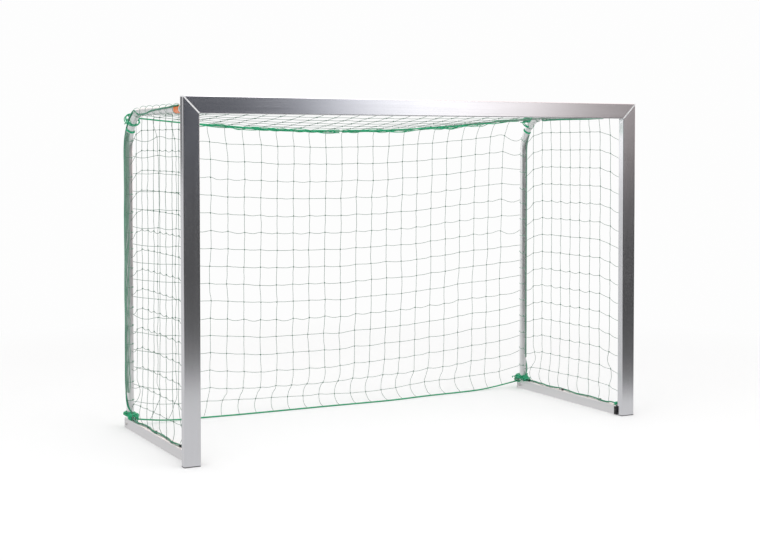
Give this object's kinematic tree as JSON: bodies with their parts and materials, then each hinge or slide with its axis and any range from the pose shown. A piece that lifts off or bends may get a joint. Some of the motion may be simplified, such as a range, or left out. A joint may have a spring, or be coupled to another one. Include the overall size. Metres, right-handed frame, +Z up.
{
  "type": "soccer goal frame",
  "caption": "Small training goal: box-profile aluminium goal frame, two hinged side net frames that fold in behind it, and a knotted net with rear ropes.",
  "frame": {"origin": "on the floor, midway between the posts and midway between the front face and the net behind", "axes": "+X across the goal to the right seen from the pitch, +Y into the goal (the mouth faces -Y), +Z up"},
  "size_m": [2.56, 1.0252, 1.68],
  "materials": {
    "frame_aluminium": "drawn mill finish, brushed along its length",
    "net_frame_aluminium": "drawn mill finish, slightly duller",
    "connector_aluminium": "cast and machined",
    "black_plastic": "moulded, fine grain",
    "hinge_black": "black powder coat",
    "zinc_steel": "zinc plated",
    "net_green": "twisted polypropylene cord, knotted",
    "rope_green": "braided polypropylene rope",
    "orange_band": "glossy adhesive tape"
  },
  "bodies": {
    "goal_frame": {"left_post": "frame_aluminium", "right_post": "frame_aluminium", "crossbar": "frame_aluminium", "corner_connector_left": "connector_aluminium", "corner_connector_right": "connector_aluminium", "corner_screws": "zinc_steel", "post_foot_left": "black_plastic", "post_foot_right": "black_plastic", "lower_hinge_fixed_leaf_left": "hinge_black", "lower_hinge_fixed_leaf_right": "hinge_black", "upper_hinge_fixed_leaf_left": "hinge_black", "upper_hinge_fixed_leaf_right": "hinge_black", "lower_hinge_pin_left": "zinc_steel", "lower_hinge_pin_right": "zinc_steel", "upper_hinge_pin_left": "zinc_steel", "upper_hinge_pin_right": "zinc_steel", "goal_frame_hinge_screws": "zinc_steel", "crossbar_net_hooks": "black_plastic", "post_net_hooks_left": "black_plastic", "post_net_hooks_right": "black_plastic", "net_back": "net_green", "net_top": "net_green", "rope_top_rear": "rope_green", "rope_bottom_rear": "rope_green"},
    "left_net_frame": {"lower_hinge_moving_leaf_left": "hinge_black", "upper_hinge_moving_leaf_left": "hinge_black", "net_frame_screws_left": "zinc_steel", "ground_rail_left": "net_frame_aluminium", "rail_front_plug_left": "black_plastic", "rail_rear_cap_left": "black_plastic", "net_hoop_left": "net_frame_aluminium", "hoop_front_plug_left": "black_plastic", "hoop_foot_spigot_left": "connector_aluminium", "hoop_foot_bolt_left": "zinc_steel", "hoop_foot_nut_left": "zinc_steel", "hoop_band_left": "orange_band", "rail_net_hooks_left": "black_plastic", "net_left": "net_green"},
    "right_net_frame": {"lower_hinge_moving_leaf_right": "hinge_black", "upper_hinge_moving_leaf_right": "hinge_black", "net_frame_screws_right": "zinc_steel", "ground_rail_right": "net_frame_aluminium", "rail_front_plug_right": "black_plastic", "rail_rear_cap_right": "black_plastic", "net_hoop_right": "net_frame_aluminium", "hoop_front_plug_right": "black_plastic", "hoop_foot_spigot_right": "connector_aluminium", "hoop_foot_bolt_right": "zinc_steel", "hoop_foot_nut_right": "zinc_steel", "hoop_band_right": "orange_band", "rail_net_hooks_right": "black_plastic", "net_right": "net_green"}
  },
  "joints": [
    {"name": "left_fold", "type": "hinge", "parent": "goal_frame", "child": "left_net_frame", "pos_m": [-1.192, -0.4552, 0], "axis": [0, 0, -1], "range_deg": [0, 90]},
    {"name": "right_fold", "type": "hinge", "parent": "goal_frame", "child": "right_net_frame", "pos_m": [1.192, -0.4552, 0], "axis": [0, 0, 1], "range_deg": [0, 90]}
  ]
}
